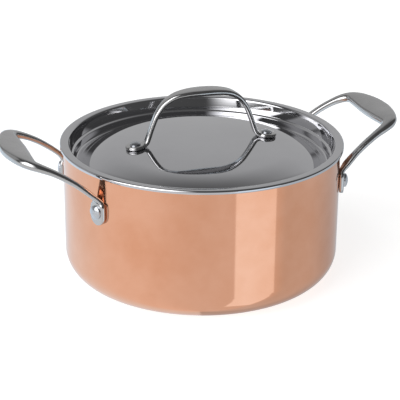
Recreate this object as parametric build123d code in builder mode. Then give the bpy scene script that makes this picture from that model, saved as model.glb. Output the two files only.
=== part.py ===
from build123d import *
import math
import os

# A copper-clad casserole, 20 cm inside, with a recessed steel lid.
# Frame: +Z up, the pot stands on Z = 0 and is centred on the Z axis.
# The two side handles lie along X.  All sizes are in millimetres.

# ---- pot: three bonded plies, from the outside in ----
POT_RADIUS = 102.5
RIM_HEIGHT = 100.6
CORNER_RADIUS = 19
COPPER = 0.5
ALUMINIUM = 1.5
STEEL = 0.5

# ---- lid: one pressed sheet with a turned-down lip, a recess and a low dome ----
LID_SHEET = 1.2
LID_RADIUS = 104.8
LIP_HEIGHT = 2.5
LIP_ROUNDING = 1.25
RECESS_RADIUS = 98.2
RECESS_ROUNDING = 1.8
LEDGE_RADIUS = 96.4
LEDGE_DEPTH = 10
LEDGE_WIDTH = 1.7
LEDGE_ROUNDING = 0.7
VALLEY_RADIUS = 93.6
VALLEY_DEPTH = 17.7
VALLEY_ROUNDING = 2
DOME_RISE = -0.4
DOME_RADIUS = 560
SHOULDER_START = 62
SHOULDER_RADIUS = 55
SHOULDER_END_SLOPE = 36
LID_TURN = -3

# ---- side handles: a bent bar with a riveted pad at each end ----
HALF_TURN = 180
HANDLE_SPREAD = 26
RIVET_HEIGHT = 74
PAD_WIDTH = 13.4
PAD_BOTTOM = 64
PAD_TOP = 83
PAD_THICKNESS = 3.6
GRIP_HEIGHT = 111.8
GRIP_REACH = 154
RISE_CURVE = 0.0081
BAR_ROUNDING = 0.42

# ---- lid handle: a narrower bent bar with a round riveted foot at each end ----
FOOT_REACH = 50.6
FOOT_RADIUS = 7.4
FOOT_THICKNESS = 2.9

# ---- rivets ----
WALL_SHANK = 5
WALL_HEAD = 10
WALL_HEAD_HEIGHT = 2.8
LID_SHANK = 4
LID_HEAD = 7.8
LID_HEAD_HEIGHT = 2.2
HEAD_EDGE_SHARE = 0.45
INNER_HEAD_SHARE = 0.7
# An inner head is flat and its seat is hollow, so it stands off by this much.
WALL_SEAT_GAP = 0.13
LID_SEAT_GAP = 0.03

WALL = COPPER + ALUMINIUM + STEEL
INNER_RADIUS = POT_RADIUS - WALL
LID_TOP = RIM_HEIGHT + LID_SHEET

os.makedirs("parts", exist_ok=True)


def save(part, name):
    """Label one finished piece and write it as its own file."""
    part.label = name
    export_step(part, f"parts/{name}.step")


def drill(planes, diameter, depth):
    """Bore a hole of this depth both ways from each plane, through the part being built."""
    for plane in planes:
        with Locations(plane):
            Cylinder(diameter / 2, 2 * depth, mode=Mode.SUBTRACT)


# =====================================================================================
# Pot
# =====================================================================================

def wall_plane(angle, radius):
    """A plane on the wall at rivet height that faces outward, with its own Y pointing up."""
    turn = math.radians(angle)
    outward = Vector(math.cos(turn), math.sin(turn), 0)
    sideways = Vector(-outward.Y, outward.X, 0)
    return Plane(outward * radius + Vector(0, 0, RIVET_HEIGHT), x_dir=sideways, z_dir=outward)


RIGHT_ANGLES = {"front": -HANDLE_SPREAD, "back": HANDLE_SPREAD}
LEFT_ANGLES = {"front": HALF_TURN + HANDLE_SPREAD, "back": HALF_TURN - HANDLE_SPREAD}
ALL_ANGLES = [*RIGHT_ANGLES.values(), *LEFT_ANGLES.values()]
WALL_RIVET_PLANES = [wall_plane(angle, POT_RADIUS) for angle in ALL_ANGLES]


def ply_profile(outer_depth, inner_depth):
    """Half section of one ply that lies between two depths below the outer surface."""
    outer = POT_RADIUS - outer_depth
    inner = POT_RADIUS - inner_depth
    flat = POT_RADIUS - CORNER_RADIUS
    with BuildSketch(Plane.XZ) as profile:
        with BuildLine():
            Line((0, outer_depth), (flat, outer_depth))
            RadiusArc((flat, outer_depth), (outer, CORNER_RADIUS), outer_depth - CORNER_RADIUS)
            Line((outer, CORNER_RADIUS), (outer, RIM_HEIGHT))
            Line((outer, RIM_HEIGHT), (inner, RIM_HEIGHT))
            Line((inner, RIM_HEIGHT), (inner, CORNER_RADIUS))
            RadiusArc((inner, CORNER_RADIUS), (flat, inner_depth), CORNER_RADIUS - inner_depth)
            Line((flat, inner_depth), (0, inner_depth))
            Line((0, inner_depth), (0, outer_depth))
        make_face()
    return profile.sketch


with BuildPart() as copper_shell:
    revolve(ply_profile(0, COPPER), axis=Axis.Z)
    drill(WALL_RIVET_PLANES, WALL_SHANK, 2 * WALL)
save(copper_shell.part, "copper_shell")

with BuildPart() as aluminium_core:
    revolve(ply_profile(COPPER, COPPER + ALUMINIUM), axis=Axis.Z)
    drill(WALL_RIVET_PLANES, WALL_SHANK, 2 * WALL)
save(aluminium_core.part, "aluminium_core")

with BuildPart() as steel_liner:
    revolve(ply_profile(COPPER + ALUMINIUM, WALL), axis=Axis.Z)
    drill(WALL_RIVET_PLANES, WALL_SHANK, 2 * WALL)
save(steel_liner.part, "steel_liner")


# =====================================================================================
# Bent bars: both kinds of handle are lofted through sections along a bar
# =====================================================================================

def bar_section(one_edge, other_edge, thickness, travel):
    """One rounded cross-section; its width runs from one edge point to the other."""
    across = other_edge - one_edge
    along = travel - across * (travel.dot(across) / across.dot(across))
    plane = Plane((one_edge + other_edge) * 0.5, x_dir=across, z_dir=along)
    with BuildSketch(plane) as section:
        RectangleRounded(across.length, thickness, thickness * BAR_ROUNDING)
    return section.sketch


def bar_sections(stations):
    """Sections at every station; each faces along the line through its neighbours."""
    middles = [(one + other) * 0.5 for one, other, thickness in stations]
    sections = []
    for index, (one, other, thickness) in enumerate(stations):
        before = middles[max(index - 1, 0)]
        after = middles[min(index + 1, len(middles) - 1)]
        sections.append(bar_section(one, other, thickness, after - before))
    return sections


def with_mirror_image(half, flip):
    """The whole row of stations: the given half, then its image, flipped and in reverse."""
    other_half = []
    for one, other, thickness in half:
        one_image = Vector(one.X * flip[0], one.Y * flip[1], one.Z)
        other_image = Vector(other.X * flip[0], other.Y * flip[1], other.Z)
        other_half.append((one_image, other_image, thickness))
    return half + other_half[-2::-1]


# =====================================================================================
# Side handles
# =====================================================================================

def rise(x):
    """Height of the bar's middle surface where it is x from the pot's axis."""
    return GRIP_HEIGHT - RISE_CURVE * (GRIP_REACH - x) ** 2


def on_strip(x, y):
    return Vector(x, y, rise(x))


def on_pad(height, width):
    """The two edges of the bar where it stands upright against the wall."""
    pad = wall_plane(-HANDLE_SPREAD, POT_RADIUS + PAD_THICKNESS / 2)
    lift = height - RIVET_HEIGHT
    return pad.from_local_coords((width / 2, lift, 0)), pad.from_local_coords((-width / 2, lift, 0))


# From the front pad to the middle of the grip: inner edge, outer edge, thickness.
SIDE_BAR = [
    (*on_pad(PAD_TOP - 6, PAD_WIDTH - 2.4), PAD_THICKNESS - 0.6),
    (*on_pad(PAD_TOP - 1, PAD_WIDTH - 5.4), PAD_THICKNESS - 0.6),
    (on_strip(99.0, -41.2), on_strip(99.8, -47.9), 3.4),
    (on_strip(105.0, -40.2), on_strip(106.0, -46.4), 3.6),
    (on_strip(113.0, -38.7), on_strip(114.2, -44.8), 3.8),
    (on_strip(121.5, -36.6), on_strip(123.2, -42.9), 4.2),
    (on_strip(129.0, -33.9), on_strip(132.2, -40.9), 5.0),
    (on_strip(132.8, -30.6), on_strip(139.6, -36.8), 5.9),
    (on_strip(133.0, -25.0), on_strip(145.2, -29.4), 6.5),
    (on_strip(132.6, -16.5), on_strip(149.0, -18.9), 6.8),
    (on_strip(132.2, -8.0), on_strip(151.0, -9.2), 6.8),
    (on_strip(132.0, 0.0), on_strip(151.5, 0.0), 6.8),
]


def side_handle(turn):
    """Bent bar with a riveting pad at each end, turned about the pot's axis."""
    with BuildPart() as handle:
        loft(bar_sections(with_mirror_image(SIDE_BAR, (1, -1))))
        for angle in RIGHT_ANGLES.values():
            with BuildSketch(wall_plane(angle, INNER_RADIUS)):
                round_end = PAD_BOTTOM + PAD_WIDTH / 2 - RIVET_HEIGHT
                with Locations((0, round_end)):
                    Circle(PAD_WIDTH / 2)
                    Rectangle(PAD_WIDTH, PAD_TOP - RIVET_HEIGHT - round_end, align=(Align.CENTER, Align.MIN))
            extrude(amount=WALL + PAD_THICKNESS)
        Cylinder(POT_RADIUS, 2 * RIM_HEIGHT, mode=Mode.SUBTRACT)
        drill([wall_plane(angle, POT_RADIUS) for angle in RIGHT_ANGLES.values()], WALL_SHANK, 2 * WALL)
    return handle.part.rotate(Axis.Z, turn)


save(side_handle(0), "right_side_handle")
save(side_handle(HALF_TURN), "left_side_handle")


# =====================================================================================
# Lid pan
# =====================================================================================

def dome_height(radius):
    """Height of the lid's outer surface over the main sweep of the dome."""
    return LID_TOP + DOME_RISE - DOME_RADIUS + math.sqrt(DOME_RADIUS ** 2 - radius ** 2)


SHOULDER_SLOPE = math.degrees(math.asin(SHOULDER_START / DOME_RADIUS))


def shoulder_point(slope):
    """Point on the tighter curve that turns down from the dome, where it has this slope."""
    begin = math.radians(SHOULDER_SLOPE)
    here = math.radians(slope)
    radius = SHOULDER_START + SHOULDER_RADIUS * (math.sin(here) - math.sin(begin))
    drop = SHOULDER_RADIUS * (math.cos(begin) - math.cos(here))
    return radius, dome_height(SHOULDER_START) - drop


LEDGE_HEIGHT = LID_TOP - LEDGE_DEPTH
VALLEY_HEIGHT = LID_TOP - VALLEY_DEPTH
SHOULDER_MIDDLE = (SHOULDER_SLOPE + SHOULDER_END_SLOPE) / 2
DOME_CENTRE = (0, dome_height(0))
SHOULDER_END = shoulder_point(SHOULDER_END_SLOPE)
DOME_END = (SHOULDER_START, dome_height(SHOULDER_START))

LID_BASE = VALLEY_HEIGHT - 4 * LID_SHEET
LIP_BASE = LID_TOP - LIP_HEIGHT


def foot_plane(side):
    """A plane that touches the dome where a foot of the lid handle is riveted to it."""
    slope = side * math.asin(FOOT_REACH / DOME_RADIUS)
    normal = Vector(math.sin(slope), 0, math.cos(slope))
    return Plane((side * FOOT_REACH, 0, dome_height(FOOT_REACH)), x_dir=(0, 1, 0), z_dir=normal)


FOOT_PLANES = [foot_plane(1), foot_plane(-1)]

with BuildPart() as lid_pan:
    with BuildSketch(Plane.XZ) as sheet:
        # Everything under the lid's outer surface, a little past the axis on the far side.
        with BuildLine():
            FilletPolyline(
                (LID_RADIUS, LID_BASE),
                (LID_RADIUS, LID_TOP),
                (RECESS_RADIUS, LID_TOP),
                (LEDGE_RADIUS, LEDGE_HEIGHT),
                (LEDGE_RADIUS - LEDGE_WIDTH, LEDGE_HEIGHT - LEDGE_WIDTH / 2),
                (VALLEY_RADIUS, VALLEY_HEIGHT),
                SHOULDER_END,
                radius=(LIP_ROUNDING, RECESS_ROUNDING, LEDGE_ROUNDING, LEDGE_ROUNDING, VALLEY_ROUNDING),
            )
            ThreePointArc(SHOULDER_END, shoulder_point(SHOULDER_MIDDLE), DOME_END)
            ThreePointArc(DOME_END, DOME_CENTRE, (-SHOULDER_START, DOME_END[1]))
            Line((-SHOULDER_START, DOME_END[1]), (-SHOULDER_START, LID_BASE))
            Line((-SHOULDER_START, LID_BASE), (LID_RADIUS, LID_BASE))
        make_face()
        # Hollowed out until one thickness of sheet is left, then trimmed to the half section.
        offset(amount=-LID_SHEET, mode=Mode.SUBTRACT)
        with Locations((0, LID_BASE)):
            Rectangle(LID_RADIUS, LID_TOP, align=(Align.MIN, Align.MIN), mode=Mode.INTERSECT)
            Rectangle(LID_RADIUS, 2 * LID_SHEET, align=(Align.MIN, Align.MIN), mode=Mode.SUBTRACT)
        with Locations((LID_RADIUS, LID_BASE)):
            Rectangle(
                2 * LID_SHEET, LIP_BASE - LID_BASE, align=(Align.MAX, Align.MIN), mode=Mode.SUBTRACT
            )
    revolve(axis=Axis.Z)
    drill(FOOT_PLANES, LID_SHANK, 2 * LID_SHEET)
save(lid_pan.part.rotate(Axis.Z, LID_TURN), "lid_pan")


# =====================================================================================
# Lid handle
# =====================================================================================

# From one foot to the middle of the grip: distance from the middle, height above the
# lid's rim, width and thickness of the bar.
LID_BAR_HALF = [
    (48.0, -1.0, 9.5, 2.2),
    (45.0, -0.7, 8.4, 2.4),
    (42.3, 1.2, 7.0, 3.0),
    (40.8, 4.3, 6.2, 3.4),
    (39.2, 9.5, 6.0, 3.4),
    (37.0, 15.5, 6.0, 3.4),
    (34.0, 22.2, 6.4, 3.5),
    (28.8, 29.2, 7.6, 3.8),
    (21.0, 34.3, 10.2, 4.2),
    (11.0, 36.3, 13.0, 4.6),
    (0.0, 36.6, 14.4, 4.8),
]
LID_BAR = [
    (Vector(x, -width / 2, LID_TOP + height), Vector(x, width / 2, LID_TOP + height), thickness)
    for x, height, width, thickness in LID_BAR_HALF
]

with BuildPart() as lid_handle:
    loft(bar_sections(with_mirror_image(LID_BAR, (-1, 1))))
    for foot in FOOT_PLANES:
        with BuildSketch(foot):
            Circle(FOOT_RADIUS)
        extrude(amount=FOOT_THICKNESS)
    drill(FOOT_PLANES, LID_SHANK, 2 * FOOT_THICKNESS)
save(lid_handle.part.rotate(Axis.Z, LID_TURN), "lid_handle")


# =====================================================================================
# Rivets
# =====================================================================================

def head_outline(shank, head, height, seat, outward):
    """Half section of a low domed head that stands on the level of its seat."""
    edge = height * HEAD_EDGE_SHARE
    cap_rise = height - edge
    cap_radius = ((head / 2) ** 2 + cap_rise ** 2) / (2 * cap_rise)
    Line((shank / 2, seat), (head / 2, seat))
    Line((head / 2, seat), (head / 2, seat + outward * edge))
    RadiusArc((head / 2, seat + outward * edge), (0, seat + outward * height), -outward * cap_radius)


def rivet(plane, shank, head, height, grip):
    """Rivet whose outer head sits on the plane; the inner head is upset below the grip."""
    with BuildPart() as body:
        with BuildSketch(Plane.XZ):
            with BuildLine():
                head_outline(shank, head, height, 0, 1)
                Line((shank / 2, 0), (shank / 2, -grip))
                head_outline(shank, head, height * INNER_HEAD_SHARE, -grip, -1)
                Line((0, -grip - height * INNER_HEAD_SHARE), (0, height))
            make_face()
        revolve(axis=Axis.Z)
    return plane.location * body.part


for side, angles in (("right", RIGHT_ANGLES), ("left", LEFT_ANGLES)):
    for end, angle in angles.items():
        face = wall_plane(angle, POT_RADIUS + PAD_THICKNESS)
        grip = PAD_THICKNESS + WALL + WALL_SEAT_GAP
        save(rivet(face, WALL_SHANK, WALL_HEAD, WALL_HEAD_HEIGHT, grip), f"{side}_{end}_handle_rivet")

for side, foot in zip(("right", "left"), FOOT_PLANES):
    grip = FOOT_THICKNESS + LID_SHEET + LID_SEAT_GAP
    lid_rivet = rivet(foot.offset(FOOT_THICKNESS), LID_SHANK, LID_HEAD, LID_HEAD_HEIGHT, grip)
    save(lid_rivet.rotate(Axis.Z, LID_TURN), f"{side}_lid_rivet")
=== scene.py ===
# %% [markdown]
# # A copper-clad pan with a pressed steel lid
#
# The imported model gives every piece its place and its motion. This script adds what
# a solid model leaves out: bars that flow the way forged ones do, a lid sheet smooth
# enough to be a mirror, polished metals, and a studio for them to reflect.

# %% Load the frame
import math

import bmesh
import bpy
from mathutils import Matrix, Vector


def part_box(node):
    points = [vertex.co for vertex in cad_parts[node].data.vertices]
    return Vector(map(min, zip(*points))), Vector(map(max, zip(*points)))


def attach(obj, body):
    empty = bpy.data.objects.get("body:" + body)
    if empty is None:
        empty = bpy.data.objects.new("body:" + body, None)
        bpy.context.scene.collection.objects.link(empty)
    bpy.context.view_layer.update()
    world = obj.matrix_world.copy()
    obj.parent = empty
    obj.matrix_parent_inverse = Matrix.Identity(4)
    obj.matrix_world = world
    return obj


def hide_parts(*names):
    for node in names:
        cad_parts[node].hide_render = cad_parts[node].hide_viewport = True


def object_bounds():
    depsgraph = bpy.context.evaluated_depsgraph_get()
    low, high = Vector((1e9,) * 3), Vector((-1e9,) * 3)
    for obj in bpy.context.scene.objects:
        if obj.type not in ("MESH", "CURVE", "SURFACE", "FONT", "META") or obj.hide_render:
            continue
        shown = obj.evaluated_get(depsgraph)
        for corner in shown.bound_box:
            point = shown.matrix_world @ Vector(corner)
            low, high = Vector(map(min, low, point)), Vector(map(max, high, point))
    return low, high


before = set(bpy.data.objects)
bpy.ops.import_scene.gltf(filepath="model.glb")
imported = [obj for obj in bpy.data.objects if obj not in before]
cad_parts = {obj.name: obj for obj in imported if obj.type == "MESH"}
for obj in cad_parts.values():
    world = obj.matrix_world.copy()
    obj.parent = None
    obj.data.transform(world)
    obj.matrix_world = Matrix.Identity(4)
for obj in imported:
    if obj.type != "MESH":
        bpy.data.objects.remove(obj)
CAD_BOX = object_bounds()
MM = 0.001
print("pieces in the frame:", sorted(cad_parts))

# %% [markdown]
# ## Camera
#
# The lens is long, so the rim keeps its nearly true ellipse. The camera stands 22
# degrees above the table and a little to the left of the pan's own front. It could be
# aimed with a constraint, but a worked-out direction keeps the small roll exact.

# %% Place the camera
CAMERA_TURN = math.radians(-20.3)
CAMERA_RISE = 0.38999
CAMERA_DISTANCE = 1.066
CAMERA_ROLL = 0.00928
AIM = Vector((0, 0, 0.052155))

FRONT = Vector((math.sin(CAMERA_TURN), -math.cos(CAMERA_TURN), 0))
RIGHT = Vector((math.cos(CAMERA_TURN), math.sin(CAMERA_TURN), 0))
BACK_OFF = FRONT * math.cos(CAMERA_RISE) + Vector((0, 0, math.sin(CAMERA_RISE)))

camera = bpy.data.objects.new("camera", bpy.data.cameras.new("camera"))
bpy.context.scene.collection.objects.link(camera)
aim_turn = BACK_OFF.to_track_quat("Z", "Y").to_matrix().to_4x4()
stand = Matrix.Translation(AIM + BACK_OFF * CAMERA_DISTANCE)
camera.matrix_world = stand @ aim_turn @ Matrix.Rotation(CAMERA_ROLL, 4, "Z")
camera.data.sensor_width = 36
camera.data.lens = 127.41
camera.data.shift_x = -0.00325
camera.data.shift_y = 0.00128
camera.data.clip_end = 60
bpy.context.scene.camera = camera
print("camera at", [round(value, 3) for value in camera.matrix_world.translation])

# %% [markdown]
# ## Writing shader maths as expressions
#
# A finish here is mostly arithmetic on a few coordinates: how far round, how far up,
# how far out. `Wire` wraps a node socket and turns each operator into a Math node, so
# a mask reads as a formula. Every node, of whatever kind, is made by `add_node`.

# %% A wrapper for sockets
class Wire:
    """One output socket in a node tree, with arithmetic."""

    def __init__(self, tree, socket):
        self.tree = tree
        self.socket = socket

    def maths(self, operation, *values):
        return add_node(self.tree, "ShaderNodeMath", {"operation": operation}, dict(enumerate(values)))

    def __add__(self, other):
        return self.maths("ADD", self, other)

    def __radd__(self, other):
        return self.maths("ADD", other, self)

    def __sub__(self, other):
        return self.maths("SUBTRACT", self, other)

    def __rsub__(self, other):
        return self.maths("SUBTRACT", other, self)

    def __mul__(self, other):
        return self.maths("MULTIPLY", self, other)

    def __rmul__(self, other):
        return self.maths("MULTIPLY", other, self)

    def step(self, start, end):
        """0 before start, 1 after end, smooth between them; start may be the larger."""
        settings = {"interpolation_type": "SMOOTHSTEP"}
        sockets = {"Value": self, "From Min": start, "From Max": end}
        return add_node(self.tree, "ShaderNodeMapRange", settings, sockets)

    def between(self, start, end, soft):
        """1 inside the range, fading to 0 over `soft` outside each end."""
        return self.step(start - soft, start) * self.step(end + soft, end)


# %% Making any node
def feed(tree, socket, value):
    """Link a wire to a socket, or set the socket to a plain value."""
    if isinstance(value, Wire):
        tree.links.new(value.socket, socket)
    else:
        socket.default_value = value


def add_node(tree, kind, settings=None, sockets=None, output=0):
    """One node: its settings first, then its sockets, each by its name or number."""
    node = tree.nodes.new(kind)
    for name, value in (settings or {}).items():
        setattr(node, name, value)
    for key, value in (sockets or {}).items():
        feed(tree, node.inputs[key], value)
    return Wire(tree, node.outputs[output]) if node.outputs else None


def split(vector):
    """The x, y and z of a vector."""
    first = add_node(vector.tree, "ShaderNodeSeparateXYZ", sockets={0: vector})
    return [Wire(vector.tree, socket) for socket in first.socket.node.outputs]


def blend_colours(amount, first, second):
    """Mix two colours; a Math node would turn them grey."""
    # A Mix node's colour inputs are its numbers 6 and 7, and its colour output is 2.
    sockets = {0: amount, 6: first, 7: second}
    return add_node(amount.tree, "ShaderNodeMix", {"data_type": "RGBA"}, sockets, output=2)


# %% [markdown]
# ## The studio
#
# Polished metal has almost no colour of its own: it shows the room. The room here is
# a world shader: a grey backdrop behind the pan, a dark front with a broad white panel
# on its left, and a bright table below with one tall strip of light. Lamps and cards
# would do too, but formulas give clean edges and no noise.
#
# All angles are in degrees. A turn is counted from the camera's side of the pan, to
# the right, and a rise is counted up from the table.

# %% Find where a ray looks
def ray_angles(tree):
    """The turn and the rise of each ray."""
    direction = add_node(tree, "ShaderNodeTexCoord")
    dot = {"operation": "DOT_PRODUCT"}
    forward = add_node(tree, "ShaderNodeVectorMath", dot, {0: direction, 1: FRONT}, output=1)
    rightward = add_node(tree, "ShaderNodeVectorMath", dot, {0: direction, 1: RIGHT}, output=1)
    upward = split(direction)[2]
    turn = forward.maths("ARCTAN2", rightward, forward) * math.degrees(1)
    rise = upward.maths("ARCSINE", upward) * math.degrees(1)
    return turn, rise


# %% Light the room and the table
BACKDROP = 0.49
BACKDROP_FADE = 0.36
DARK_FRONT = 0.085
PANEL = 3.0
LEFT_GLOW = 0.35

TABLE = 0.76
STRIP = 0.31
SHADE = 0.10
DEEP_SHADE = 0.14
LEFT_WASH = 0.12


def room_light(turn, rise):
    """How bright the room is above the table."""
    backdrop = BACKDROP - BACKDROP_FADE * rise.step(22, 76)
    front = turn.between(-130, 130, 16)
    panel = turn.step(-78, -72) * turn.step(-2, -34) * rise.between(8, 62, 4)
    far_left = turn.between(-128, -100, 8) * rise.between(2, 40, 6)
    return backdrop * (1 - front) + front * (DARK_FRONT + PANEL * panel + LEFT_GLOW * far_left)


def table_light(turn, strip, shade):
    """How bright the table is, with its strip of light and its shaded right side."""
    depth = SHADE + DEEP_SHADE * turn.step(96, 140)
    return TABLE + STRIP * strip - depth * shade + LEFT_WASH * turn.between(-130, -60, 70)


# %% Build the studio
# The strip and the two sides are lit by cooler lamps than the middle of the table: less
# red, more green and most of all more blue.
COOL_LIFTS = (-0.02, 0.11, 0.22)
STRIP_COOLNESS = 0.9
SHADE_COOLNESS = 0.6


def build_studio():
    world = bpy.data.worlds.new("studio")
    bpy.context.scene.world = world
    world.use_nodes = True
    tree = world.node_tree
    tree.nodes.clear()

    turn, rise = ray_angles(tree)
    strip = turn.between(28.5, 63.5, 0.6) * rise.step(-62, -59)
    shade = turn.between(76, 176, 14)
    above = rise.step(-3, 3)
    table = table_light(turn, strip, shade)
    level = table + (room_light(turn, rise) - table) * above
    cool = (1 - above) * (STRIP_COOLNESS * strip + turn.step(-70, -125) + SHADE_COOLNESS * shade)

    # The world is plain white to the camera itself, and the room to everything else.
    seen = add_node(tree, "ShaderNodeLightPath")
    channels = []
    for lift in COOL_LIFTS:
        lit = level * (1 + lift * cool)
        channels.append(lit + (1 - lit) * seen)
    colour = add_node(tree, "ShaderNodeCombineColor", sockets=dict(enumerate(channels)))
    background = add_node(tree, "ShaderNodeBackground", sockets={"Color": colour})
    add_node(tree, "ShaderNodeOutputWorld", sockets={"Surface": background})
    return len(tree.nodes)


bpy.context.scene.view_settings.view_transform = "Standard"
print("studio nodes:", build_studio())

# %% [markdown]
# ## The floor
#
# A pale sweep that glows a little, so it stays as light as the background and keeps
# only a faint contact shadow. Reflections skip it, as they do on a lit white table.

# %% Lay the floor
FLOOR_HALF = 4.0
FLOOR_GAP = 0.0002
FLOOR_GREY = 0.62
FLOOR_GLOW = 0.80

floor_mesh = bpy.data.meshes.new("floor")
floor_signs = ((-1, -1), (1, -1), (1, 1), (-1, 1))
floor_corners = [(x * FLOOR_HALF, y * FLOOR_HALF, 0) for x, y in floor_signs]
floor_mesh.from_pydata(floor_corners, [], [(0, 1, 2, 3)])
floor = bpy.data.objects.new("floor", floor_mesh)
bpy.context.scene.collection.objects.link(floor)
floor.location.z = CAD_BOX[0][2] - FLOOR_GAP
floor.visible_glossy = False
pale = bpy.data.materials.new("pale_floor")
pale.use_nodes = True
pale_shader = pale.node_tree.nodes["Principled BSDF"]
pale_shader.inputs["Base Color"].default_value = (FLOOR_GREY, FLOOR_GREY, FLOOR_GREY, 1)
pale_shader.inputs["Roughness"].default_value = 1
pale_shader.inputs["Specular IOR Level"].default_value = 0
pale_shader.inputs["Emission Color"].default_value = (1, 1, 1, 1)
pale_shader.inputs["Emission Strength"].default_value = FLOOR_GLOW
floor_mesh.materials.append(pale)
print("floor laid", 2 * FLOOR_HALF, "m across")

# %% [markdown]
# ## Metals
#
# All the finishes share one idea: fine lines left by the polishing wheel. On turned
# pieces they run round the axis, so their pattern depends on height and distance from
# it. On the bars they are finer and have no clear direction. Each metal also has slow
# changes of tone and gloss, as handled metal does.

# %% Lines left by the wheel
TURNED_LINES = 900
ALONG_LINES = 3
BAR_GRAIN = 1400.0


def noise(place, scale, detail):
    sockets = {"Vector": place, "Scale": scale, "Detail": detail}
    return add_node(place.tree, "ShaderNodeTexNoise", sockets=sockets)


def wheel_lines(place, lines):
    """Fine lines round the axis of a turned piece, or an even grain on a bar."""
    if lines != "turned":
        return noise(place, BAR_GRAIN, 2.0)
    x, y, z = split(place)
    radius = x.maths("SQRT", x * x + y * y)
    sockets = {"X": radius * TURNED_LINES, "Y": z * TURNED_LINES, "Z": x * ALONG_LINES}
    return noise(add_node(place.tree, "ShaderNodeCombineXYZ", sockets=sockets), 1.0, 3.0)


# %% Make a metal
LINE_HEIGHT = 0.0002


def metal(name, colour, tint, gloss, lines, line_depth, cloud=14):
    """A polished metal: two tones, a range of roughness, and wheel lines as bump."""
    material = bpy.data.materials.new(name)
    material.use_nodes = True
    tree = material.node_tree
    shader = tree.nodes["Principled BSDF"]
    shader.inputs["Metallic"].default_value = 1
    place = add_node(tree, "ShaderNodeTexCoord", output="Object")
    clouds = noise(place, float(cloud), 4.0)
    smudge = noise(place, cloud * 6.0, 6.0)
    grain = wheel_lines(place, lines)

    tone = 0.75 * clouds.step(0.35, 0.68) + 0.25 * smudge.step(0.3, 0.7)
    feed(tree, shader.inputs["Base Color"], blend_colours(tone, (*colour, 1), (*tint, 1)))
    smooth, dull = gloss
    feed(tree, shader.inputs["Roughness"], smooth + (dull - smooth) * (0.6 * smudge + 0.4 * grain))
    relief = {"Height": grain, "Strength": line_depth, "Distance": LINE_HEIGHT}
    feed(tree, shader.inputs["Normal"], add_node(tree, "ShaderNodeBump", sockets=relief))
    return material


# %% Mix the metals
COPPER = metal("polished_copper", (0.86, 0.455, 0.30), (0.78, 0.37, 0.22), (0.03, 0.11), "turned", 0.02)
CORE = metal("rolled_aluminium", (0.78, 0.78, 0.79), (0.70, 0.70, 0.72), (0.25, 0.4), "turned", 0.1)
LINER = metal("satin_liner", (0.62, 0.62, 0.63), (0.55, 0.55, 0.56), (0.28, 0.30), "turned", 0.05)
LID = metal("mirror_lid", (0.62, 0.62, 0.64), (0.58, 0.58, 0.60), (0.02, 0.07), "turned", 0.008)
BAR = metal("polished_bar", (0.575, 0.572, 0.575), (0.50, 0.498, 0.502), (0.15, 0.20), "fine", 0.014, 30)
RIVET = metal("smooth_rivet", (0.60, 0.62, 0.65), (0.52, 0.54, 0.58), (0.19, 0.34), "fine", 0.03, 60)
print("metals:", [item.name for item in (COPPER, CORE, LINER, LID, BAR, RIVET)])

# %% [markdown]
# ## Pieces that keep their modelled shape
#
# The three plies of the wall and the six rivets are simple turned forms, and their
# modelled meshes are good enough to be seen. They only trade their material for one of
# the metals. Redrawing them too would gain nothing and could open a gap at a rivet.

# %% Put the metals on the plies and rivets
FINISHES = {"copper_shell": COPPER, "aluminium_core": CORE, "steel_liner": LINER}
for node_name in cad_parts:
    if node_name.endswith("rivet"):
        FINISHES[node_name] = RIVET
for node_name, finish in FINISHES.items():
    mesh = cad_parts[node_name].data
    mesh.materials.clear()
    mesh.materials.append(finish)
print("finished as they are:", sorted(FINISHES))


# %% [markdown]
# ## The lid sheet
#
# The lid is pressed from one steel sheet: a flat flange that sits on the rim, a deep
# wall, a small ledge, a valley and a nearly flat dome. A mirror shows every facet, so
# its section is redrawn with many points round each bend and spun in fine steps.

# %% Helpers for turned sheets
def rounded(corners, radii, steps=8):
    """A chain of points with its inner corners replaced by arcs."""
    chain = [Vector(corners[0])]
    for before, corner, after, radius in zip(corners, corners[1:], corners[2:], radii):
        corner = Vector(corner)
        back = (Vector(before) - corner).normalized()
        ahead = (Vector(after) - corner).normalized()
        half = back.angle(ahead) / 2
        reach = radius / math.tan(half)
        centre = corner + (back + ahead).normalized() * (radius / math.sin(half))
        start = corner + back * reach - centre
        end = corner + ahead * reach - centre
        sweep = start.angle_signed(end)
        for index in range(steps + 1):
            turn = Matrix.Rotation(-sweep * index / steps, 2)
            chain.append(centre + turn @ start)
    chain.append(Vector(corners[-1]))
    return chain


def spin(name, outline, segments=288):
    """A closed outline of (radius, height) points, turned round the pan's axis."""
    count = len(outline)
    vertices = []
    for index in range(segments):
        turn = 2 * math.pi * index / segments
        for radius, height in outline:
            vertices.append((radius * math.cos(turn) * MM, radius * math.sin(turn) * MM, height * MM))
    faces = []
    for index in range(segments):
        here = index * count
        there = (index + 1) % segments * count
        for point in range(count):
            after = (point + 1) % count
            faces.append((here + point, there + point, there + after, here + after))
    return shown(name, vertices, faces)


def shown(name, vertices, faces):
    """A smooth-shaded object in the scene, with its normals facing out."""
    mesh = bpy.data.meshes.new(name)
    mesh.from_pydata(vertices, [], faces)
    mesh.validate()
    tidy = bmesh.new()
    tidy.from_mesh(mesh)
    bmesh.ops.remove_doubles(tidy, verts=tidy.verts, dist=1e-7)
    bmesh.ops.dissolve_degenerate(tidy, edges=tidy.edges, dist=1e-8)
    bmesh.ops.recalc_face_normals(tidy, faces=tidy.faces)
    tidy.to_mesh(mesh)
    tidy.free()
    mesh.shade_smooth()
    piece = bpy.data.objects.new(name, mesh)
    bpy.context.scene.collection.objects.link(piece)
    return piece


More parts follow.
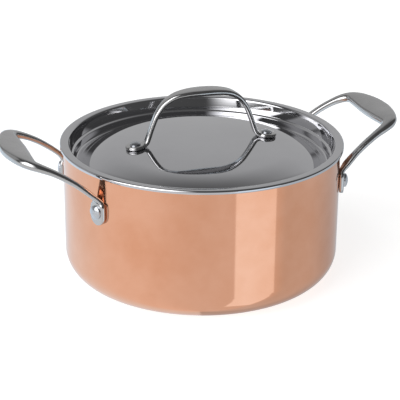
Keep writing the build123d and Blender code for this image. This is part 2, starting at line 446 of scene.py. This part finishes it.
# %% Spin the lid sheet
LID_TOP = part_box("lid_pan")[1][2] / MM
SHEET = 1.2
LID_EDGE = 104.8
DOME_CROWN = LID_TOP - 0.4
DOME_CURVE = 560
DOME_EDGE = 62
SHOULDER_CURVE = 55
SHOULDER_STEEPEST = math.radians(36)
VALLEY = (93.6, LID_TOP - 17.7)
LEDGE = (96.4, LID_TOP - 10)
LEDGE_WIDTH = 1.7
RECESS_EDGE = 98.2
LIP_HEIGHT = 2.5
BENDS = (2, 0.7, 0.7, 1.8, 1.25)
DOME_STEPS = 24
SHOULDER_STEPS = 14


def dome_point(radius):
    """A point on the broad, nearly flat middle of the lid."""
    return radius, DOME_CROWN - DOME_CURVE + math.sqrt(DOME_CURVE**2 - radius**2)


def lid_surface():
    """The upper surface as one chain from the middle of the dome to under the lip."""
    chain = [dome_point(DOME_EDGE * index / DOME_STEPS) for index in range(DOME_STEPS + 1)]
    edge_radius, edge_height = chain[-1]
    begin = math.asin(DOME_EDGE / DOME_CURVE)
    for index in range(1, SHOULDER_STEPS + 1):
        slope = begin + (SHOULDER_STEEPEST - begin) * index / SHOULDER_STEPS
        out = SHOULDER_CURVE * (math.sin(slope) - math.sin(begin))
        down = SHOULDER_CURVE * (math.cos(begin) - math.cos(slope))
        chain.append((edge_radius + out, edge_height - down))
    ledge_inside = (LEDGE[0] - LEDGE_WIDTH, LEDGE[1] - LEDGE_WIDTH / 2)
    corners = [
        chain.pop(), VALLEY, ledge_inside, LEDGE, (RECESS_EDGE, LID_TOP),
        (LID_EDGE, LID_TOP), (LID_EDGE, LID_TOP - LIP_HEIGHT),
    ]
    return chain + [tuple(point) for point in rounded(corners, BENDS)]


def thickened(chain, thickness):
    """A closed outline: the chain, and the chain again one thickness to its inner side."""
    inner = []
    for index, (radius, height) in enumerate(chain):
        before = Vector(chain[max(index - 1, 0)])
        after = Vector(chain[min(index + 1, len(chain) - 1)])
        along = (after - before).normalized()
        inner.append((max(radius + along.y * thickness, 0), height - along.x * thickness))
    return chain + inner[::-1]


lid_sheet = spin("lid_sheet", thickened(lid_surface(), SHEET))
lid_sheet.data.materials.append(LID)
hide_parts("lid_pan")
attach(lid_sheet, "lid")
print("lid sheet:", len(lid_sheet.data.vertices), "points")

# %% [markdown]
# ## Bars
#
# Each handle is one forged bar: a flat end for the rivet, a slim leg and a broad grip.
# A curve with a bevel can't change width and thickness on their own, so the bar is
# skinned over cross-sections. A station gives the bar's two edges, its thickness and
# how far its broad faces swell, and a smooth curve runs through all the stations.

# %% Helpers for bars
CORNER_STEPS = 5
FACE_STEPS = 6
STATION_STEPS = 7
EDGE_OF_THICKNESS = 0.46
EDGE_OF_WIDTH = 0.48


def bar_outline(width, thickness, swell):
    """Points round a rounded-rectangle section whose broad faces swell outward."""
    radius = min(EDGE_OF_THICKNESS * thickness, EDGE_OF_WIDTH * width)
    reach = width / 2 - radius
    face = [reach * (2 * step / FACE_STEPS - 1) for step in range(FACE_STEPS + 1)]
    crown = [swell * (1 - (2 * across / width) ** 2) for across in face]
    outline = []
    for side in (1, -1):
        for across, lift in zip(face, crown):
            outline.append((-side * across, side * (thickness / 2 + lift)))
        low = swell * (1 - (2 * reach / width) ** 2)
        for step in range(1, CORNER_STEPS):
            turn = math.pi * step / CORNER_STEPS
            tall = (thickness / 2 + low) * math.cos(turn)
            outline.append((-side * (reach + radius * math.sin(turn)), side * tall))
    return outline


def between(before, start, end, after, share):
    """Catmull-Rom: a smooth value between start and end, for vectors and numbers."""
    return 0.5 * (
        2 * start
        + (end - before) * share
        + (2 * before - 5 * start + 4 * end - after) * share**2
        + (3 * start - before - 3 * end + after) * share**3
    )


def smooth_stations(stations):
    """The stations with STATION_STEPS - 1 more between each pair."""
    last = len(stations) - 1
    result = []
    for index in range(last):
        before = stations[max(index - 1, 0)]
        after = stations[min(index + 2, last)]
        columns = list(zip(before, stations[index], stations[index + 1], after))
        for step in range(STATION_STEPS):
            result.append([between(*column, step / STATION_STEPS) for column in columns])
    return result + [stations[-1]]


def forge(name, stations, turn):
    """One bar skinned over its stations, then turned about the pan's axis."""
    fine = smooth_stations(stations)
    middles = [(one + other) / 2 for one, other, thickness, swell in fine]
    spun = Matrix.Rotation(math.radians(turn), 3, "Z")
    vertices = []
    for index, (one, other, thickness, swell) in enumerate(fine):
        travel = middles[min(index + 1, len(fine) - 1)] - middles[max(index - 1, 0)]
        across = other - one
        normal = across.cross(travel).normalized()
        width = across.length
        for side, up in bar_outline(width, thickness, swell):
            point = middles[index] + across / width * side + normal * up
            vertices.append(spun @ point * MM)
    count = len(vertices) // len(fine)
    faces = [tuple(range(count)), tuple(range(len(vertices) - count, len(vertices)))]
    for ring in range(len(fine) - 1):
        here = ring * count
        for point in range(count):
            after = (point + 1) % count
            faces.append((here + point, here + after, here + count + after, here + count + point))
    piece = shown(name, vertices, faces)
    piece.data.materials.append(BAR)
    return piece


def mirrored(half, flip):
    """The half row of stations and its image, in reverse and without the middle twice."""
    image = []
    for one, other, thickness, swell in half:
        images = [Vector((edge.x * flip[0], edge.y * flip[1], edge.z)) for edge in (one, other)]
        image.append((*images, thickness, swell))
    return half + image[-2::-1]


# How far round a rounded end its stations stand, in degrees.
ROUND_END = (8, 22, 38, 56, 74)
print("points round a bar:", len(bar_outline(2, 1, 0)))

# %% [markdown]
# ## Side handles
#
# The pad lies against the wall, 26 degrees round from the handle's middle. The bar
# climbs off the pad, sweeps outward and broadens into a grip that is tilted up a
# little towards its outer edge. Half of it is written down and the rest is its image.

# %% Forge the side handles
PAD_WIDTH = 13.4
PAD_THICKNESS = 3.6
PAD_BOTTOM = 64
PAD_SPREAD = math.radians(-26)
PAD_THIN_END = 0.62
WALL_RADIUS = 102.5
GRIP_HEIGHT = 111.8
GRIP_REACH = 154
RISE_CURVE = 0.0081


def pad_station(height, width, thickness, swell):
    """A section of the upright pad."""
    out = Vector((math.cos(PAD_SPREAD), math.sin(PAD_SPREAD), 0))
    sideways = Vector((-out.y, out.x, 0)) * width / 2
    middle = out * (WALL_RADIUS + PAD_THICKNESS / 2) + Vector((0, 0, height))
    return middle + sideways, middle - sideways, thickness, swell


def strip_station(inner, outer, thickness, swell):
    """A section of the leg or grip, from the places of its inner and outer edge."""
    edges = [Vector((x, y, GRIP_HEIGHT - RISE_CURVE * (GRIP_REACH - x) ** 2)) for x, y in (inner, outer)]
    return (*edges, thickness, swell)


def side_half():
    """Half of a side handle, from the foot of its pad to the middle of its grip."""
    half = []
    for angle in ROUND_END:
        turn = math.radians(angle)
        height = PAD_BOTTOM + PAD_WIDTH / 2 * (1 - math.cos(turn))
        edge = PAD_THIN_END + (1 - PAD_THIN_END) * math.sin(turn)
        half.append(pad_station(height, PAD_WIDTH * math.sin(turn), PAD_THICKNESS * edge, 0))
    for height, width in ((71, PAD_WIDTH), (75, PAD_WIDTH), (78.6, 12.6), (81.6, 9.6)):
        half.append(pad_station(height, width, PAD_THICKNESS, 0.05))
    return half + [
        strip_station((97.6, -41.2), (98.6, -48.6), 3.5, 0.1),
        strip_station((105.0, -40.2), (106.0, -46.4), 3.6, 0.15),
        strip_station((113.0, -38.7), (114.2, -44.8), 3.8, 0.2),
        strip_station((121.5, -36.6), (123.2, -42.9), 4.1, 0.2),
        strip_station((129.0, -33.9), (132.2, -40.9), 4.8, 0.3),
        strip_station((132.8, -30.6), (139.6, -36.8), 5.3, 0.5),
        strip_station((133.0, -25.0), (145.2, -29.4), 5.5, 0.75),
        strip_station((132.6, -16.5), (149.0, -18.9), 5.5, 0.95),
        strip_station((132.2, -8.0), (151.0, -9.2), 5.5, 1.0),
        strip_station((132.0, 0.0), (151.5, 0.0), 5.5, 1.0),
    ]


for side, turn in (("right", 0), ("left", 180)):
    bar = forge(f"{side}_loop", mirrored(side_half(), (1, -1)), turn)
    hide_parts(f"{side}_side_handle")
    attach(bar, "pot")
    print(bar.name, len(bar.data.vertices), "points")

# %% [markdown]
# ## Lid handle
#
# The same kind of bar, narrower, arched over the dome. Its ends are round feet that
# lie on the dome's gentle slope, and its top broadens to a flat grip.

# %% Forge the lid handle
LID_TURN = -3
FOOT_REACH = 50.6
FOOT_RADIUS = 7.4
FOOT_THICKNESS = 2.9
FOOT_THIN_END = 0.66
FOOT_SLOPE = math.asin(FOOT_REACH / DOME_CURVE)


def lid_station(reach, height, width, thickness, swell):
    """A section of the lid handle, level across and lying over the pan's middle line."""
    middle = Vector((reach, 0, LID_TOP + height))
    half_width = Vector((0, width / 2, 0))
    return middle - half_width, middle + half_width, thickness, swell


def lid_half():
    """Half of the lid handle, from the tip of its foot to the middle of its grip."""
    foot_height = dome_point(FOOT_REACH)[1] + FOOT_THICKNESS / 2 - LID_TOP
    half = []
    for angle in (*ROUND_END, 90):
        turn = math.radians(angle)
        out = FOOT_RADIUS * math.cos(turn)
        edge = FOOT_THICKNESS * (FOOT_THIN_END + (1 - FOOT_THIN_END) * math.sin(turn))
        height = foot_height - out * math.tan(FOOT_SLOPE)
        half.append(lid_station(FOOT_REACH + out, height, 2 * FOOT_RADIUS * math.sin(turn), edge, 0))
    rows = (
        (47.2, -0.95, 12.6, 2.9, 0), (44.8, -0.6, 9.2, 2.9, 0.05), (42.4, 1.1, 7.2, 3.1, 0.1),
        (40.9, 4.5, 6.4, 3.3, 0.15), (39.2, 9.5, 6.0, 3.3, 0.15), (37.0, 15.5, 6.0, 3.3, 0.15),
        (34.0, 22.2, 6.4, 3.4, 0.15), (28.8, 29.2, 7.6, 3.6, 0.2), (21.0, 34.1, 10.2, 3.8, 0.3),
        (11.0, 36.1, 13.0, 4.0, 0.35), (0.0, 36.5, 14.4, 4.1, 0.4),
    )
    return half + [lid_station(*row) for row in rows]


lid_bar = forge("lid_loop", mirrored(lid_half(), (-1, 1)), LID_TURN)
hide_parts("lid_handle")
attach(lid_bar, "lid")
print(lid_bar.name, len(lid_bar.data.vertices), "points")
